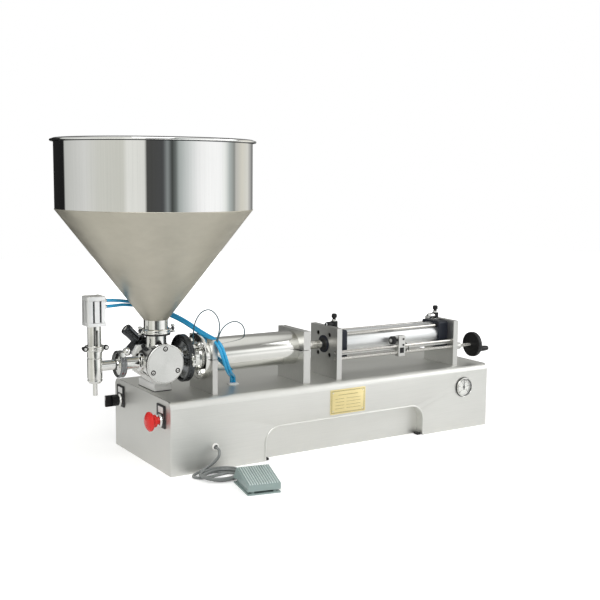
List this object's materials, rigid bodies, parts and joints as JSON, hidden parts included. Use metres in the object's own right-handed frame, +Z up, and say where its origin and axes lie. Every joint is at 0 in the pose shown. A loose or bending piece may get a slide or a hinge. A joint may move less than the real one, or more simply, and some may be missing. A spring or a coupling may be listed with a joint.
{
  "type": "piston filling machine",
  "caption": "Bench piston filler: conical hopper over a three-way rotary valve, material and air cylinders in line on a folded base, shut-off nozzle, foot switch.",
  "frame": {"origin": "centre of the base's underside, on the bench", "axes": "+X along the base from the nozzle towards the handwheel, +Y away from the front skirt, +Z up"},
  "size_m": [1.0772, 0.514, 0.6815],
  "materials": {
    "satin_sheet": "satin folded stainless sheet",
    "machined_plate": "milled stainless plate",
    "polished_steel": "polished stainless steel",
    "hopper_steel": "polished spun stainless sheet",
    "silver_tube": "clear anodised aluminium",
    "navy_cap": "dark anodised cap",
    "black_plastic": "moulded black plastic",
    "legend_black": "black legend plate with a white window",
    "stop_red": "moulded red plastic",
    "white_plastic": "white nylon",
    "gauge_glass": "clear gauge window",
    "pointer_black": "painted pointer",
    "plate_gold": "gold anodised bare plate",
    "brass_fitting": "turned brass",
    "pedal_plastic": "grey-green moulded pedal",
    "cord_grey": "grey PVC cord",
    "tube_blue": "blue polyurethane air tube",
    "seal_rubber": "black nitrile"
  },
  "bodies": {
    "machine": {"chassis_shell": "satin_sheet", "bottom_plate": "satin_sheet", "saddle_bases": "machined_plate", "saddle_caps": "machined_plate", "material_cylinder_tube": "polished_steel", "front_flange": "machined_plate", "cylinder_front_plate": "machined_plate", "cylinder_rear_plate": "machined_plate", "air_cylinder_front_cap": "navy_cap", "air_cylinder_rear_cap": "navy_cap", "air_cylinder_tube": "silver_tube", "tie_rods": "polished_steel", "flow_controls": "black_plastic", "guide_rod": "polished_steel", "scale_bar": "machined_plate", "valve_body": "polished_steel", "valve_front_cover": "machined_plate", "actuator_housing": "silver_tube", "actuator_barrel": "silver_tube", "valve_bracket": "machined_plate", "hopper": "hopper_steel", "pipe_clamps": "polished_steel", "nozzle_body": "polished_steel", "nozzle_yoke": "polished_steel", "nozzle_air_cylinder": "silver_tube", "legend_plates": "legend_black", "switch_bodies": "black_plastic", "pressure_regulator": "black_plastic", "gauge_glass": "gauge_glass", "nameplate": "plate_gold", "air_inlet": "brass_fitting", "air_tube_gland": "white_plastic", "solenoid_valve_bank": "silver_tube", "pedal_base": "pedal_plastic", "cable_grommet": "white_plastic", "cord_lead": "cord_grey", "cord_coil": "cord_grey", "cord_tail": "cord_grey", "air_tubes": "tube_blue", "socket_screws": "polished_steel", "joint_seals": "seal_rubber"},
    "piston_train": {"material_piston": "machined_plate", "piston_rod": "polished_steel", "air_piston": "machined_plate", "piston_seals": "seal_rubber"},
    "valve_plug": {"valve_rotor": "machined_plate", "valve_pinion": "machined_plate"},
    "rack": {"actuator_rack": "machined_plate"},
    "needle": {"nozzle_needle": "machined_plate"},
    "stroke_screw": {"lead_screw": "polished_steel", "handwheel": "black_plastic"},
    "wheel_grip": {"handwheel_grip": "black_plastic"},
    "carriage": {"sensor_carriage": "black_plastic"},
    "stop": {"stop_button": "stop_red"},
    "selector": {"selector_knob": "black_plastic"},
    "front_flow": {"front_flow_knob": "black_plastic"},
    "rear_flow": {"rear_flow_knob": "black_plastic"},
    "pointer": {"gauge_needle": "pointer_black"},
    "treadle": {"pedal_treadle": "pedal_plastic"}
  },
  "joints": [
    {"name": "piston_slide", "type": "slide", "parent": "machine", "child": "piston_train", "axis": [1, 0, 0], "range_m": [0, 0.2]},
    {"name": "valve_turn", "type": "hinge", "parent": "machine", "child": "valve_plug", "pos_m": [-0.4277, -0.0703, 0.2306], "axis": [0, 1, 0], "range_deg": [0, 90]},
    {"name": "rack_slide", "type": "slide", "parent": "machine", "child": "rack", "axis": [0.7071, 0, -0.7071], "range_m": [0, 0.01767]},
    {"name": "needle_lift", "type": "slide", "parent": "machine", "child": "needle", "axis": [0, 0, 1], "range_m": [0, 0.012]},
    {"name": "stroke_set", "type": "hinge", "parent": "machine", "child": "stroke_screw", "pos_m": [0, -0.1175, 0.2016], "axis": [1, 0, 0], "range_deg": [-4500, 4500]},
    {"name": "carriage_slide", "type": "slide", "parent": "machine", "child": "carriage", "axis": [1, 0, 0], "range_m": [-0.1, 0.1]},
    {"name": "grip_spin", "type": "hinge", "parent": "stroke_screw", "child": "wheel_grip", "pos_m": [0.429, -0.13365, 0.19153], "axis": [1, 0, 0], "continuous": true},
    {"name": "stop_push", "type": "slide", "parent": "machine", "child": "stop", "axis": [1, 0, 0], "range_m": [0, 0.005], "stiffness_N_per_m": 900, "springref_m": -0.004},
    {"name": "selector_turn", "type": "hinge", "parent": "machine", "child": "selector", "pos_m": [-0.432, 0.1135, 0.111], "axis": [1, 0, 0], "range_deg": [-45, 45]},
    {"name": "front_flow_turn", "type": "hinge", "parent": "machine", "child": "front_flow", "pos_m": [0.0212, -0.0703, 0.3], "axis": [0, 0, 1], "range_deg": [-900, 900]},
    {"name": "rear_flow_turn", "type": "hinge", "parent": "machine", "child": "rear_flow", "pos_m": [0.325, -0.0703, 0.3], "axis": [0, 0, 1], "range_deg": [-900, 900]},
    {"name": "gauge_pointer_turn", "type": "hinge", "parent": "machine", "child": "pointer", "pos_m": [0.3555, -0.1505, 0.104], "axis": [0, 1, 0], "range_deg": [-135, 135]},
    {"name": "pedal_press", "type": "hinge", "parent": "machine", "child": "treadle", "pos_m": [-0.3201, -0.33113, 0.011], "axis": [-0.9816, 0.1908, 0], "range_deg": [0, 3.8], "stiffness_Nm_per_rad": 6, "springref_deg": -6.88}
  ],
  "couplings": [
    {"joint": "valve_turn", "follows": "rack_slide", "rad_per_m": 88.889},
    {"joint": "stroke_set", "follows": "carriage_slide", "rad_per_m": 785.4}
  ]
}
